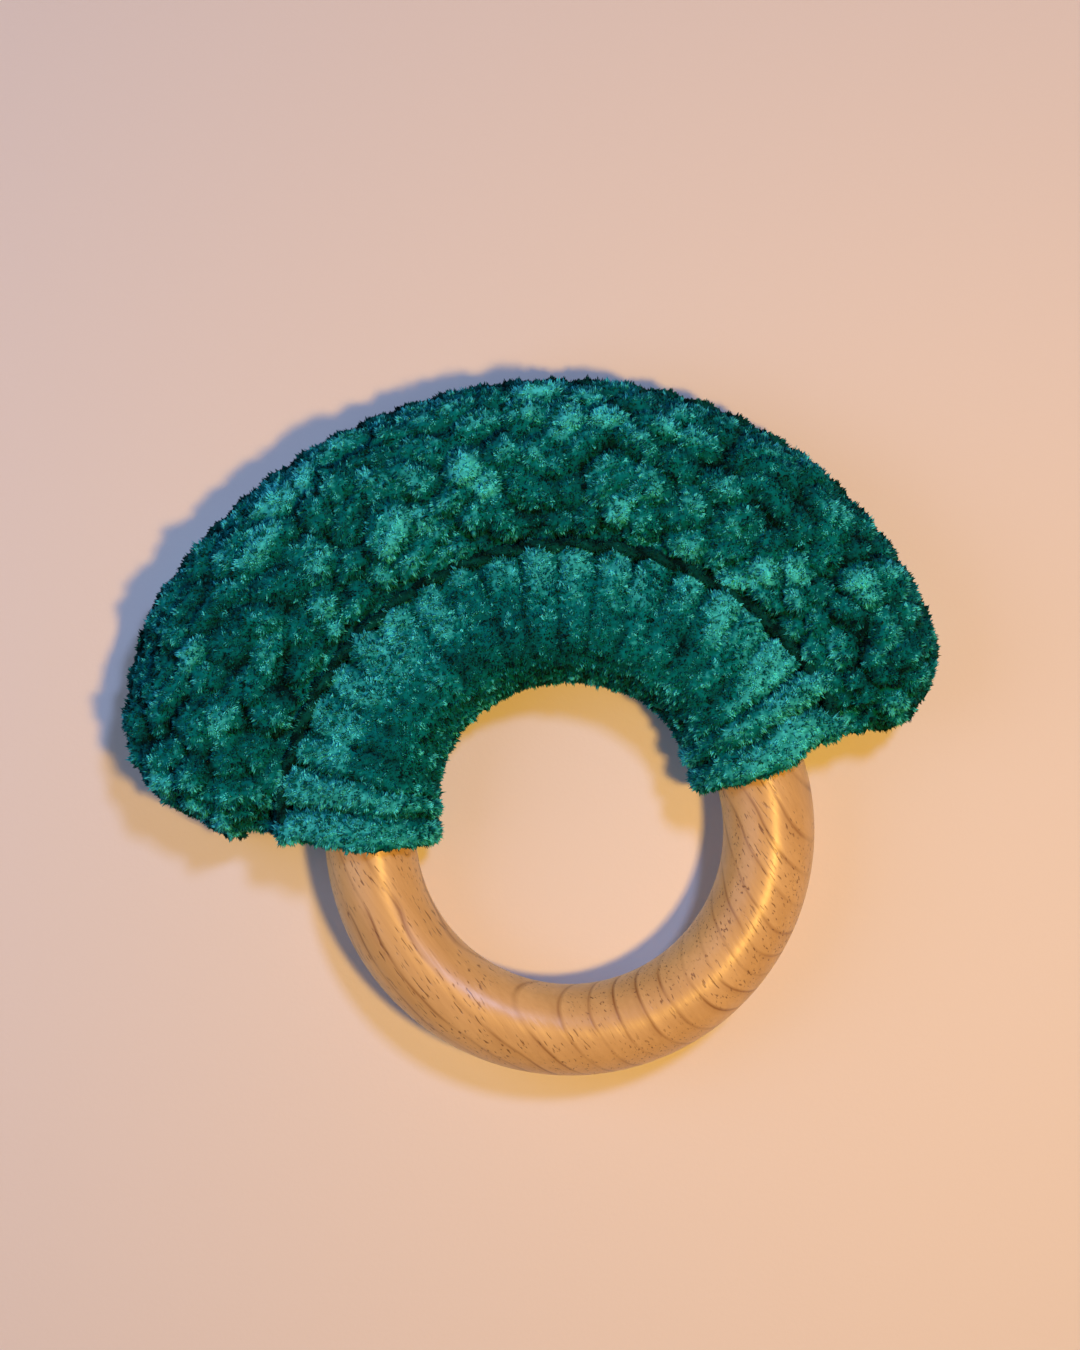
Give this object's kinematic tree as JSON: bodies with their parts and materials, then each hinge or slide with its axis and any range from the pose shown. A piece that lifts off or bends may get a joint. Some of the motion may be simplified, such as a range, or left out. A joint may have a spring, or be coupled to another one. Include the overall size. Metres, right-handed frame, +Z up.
{
  "type": "baby rattle",
  "caption": "Flat-lying baby rattle: a round wooden teething ring turning in a crocheted sleeve, sewn to a stuffed crocheted crescent with a rattle capsule inside.",
  "frame": {"origin": "middle of the footprint, on the surface the rattle lies on", "axes": "+X along the crescent's two ends, +Y from the bare half of the ring to the crown of the crescent, +Z up, along the ring's own axis"},
  "size_m": [0.1214, 0.1002, 0.018],
  "materials": {
    "beech": "sanded and oiled",
    "chenille": "velvety pile",
    "sewing_yarn": "velvety pile",
    "fibre_filling": "loose polyester fibre",
    "capsule_plastic": "moulded",
    "ball_steel": "polished"
  },
  "bodies": {
    "plush": {"ring_sleeve": "chenille", "crescent_front": "chenille", "crescent_back": "chenille", "rim_seam": "sewing_yarn", "sleeve_seam_front": "sewing_yarn", "sleeve_seam_back": "sewing_yarn", "filling_left": "fibre_filling", "filling_right": "fibre_filling", "capsule_body": "capsule_plastic", "capsule_cap": "capsule_plastic"},
    "ring": {"wooden_ring": "beech"},
    "balls": {"rattle_balls": "ball_steel"}
  },
  "joints": [
    {"name": "ring_turn", "type": "hinge", "parent": "plush", "child": "ring", "pos_m": [0.00217, -0.0151, 0.009], "axis": [0, 0, 1], "continuous": true},
    {"name": "balls_roll", "type": "slide", "parent": "plush", "child": "balls", "axis": [1, 0, 0], "range_m": [-0.004, 0.004]}
  ]
}
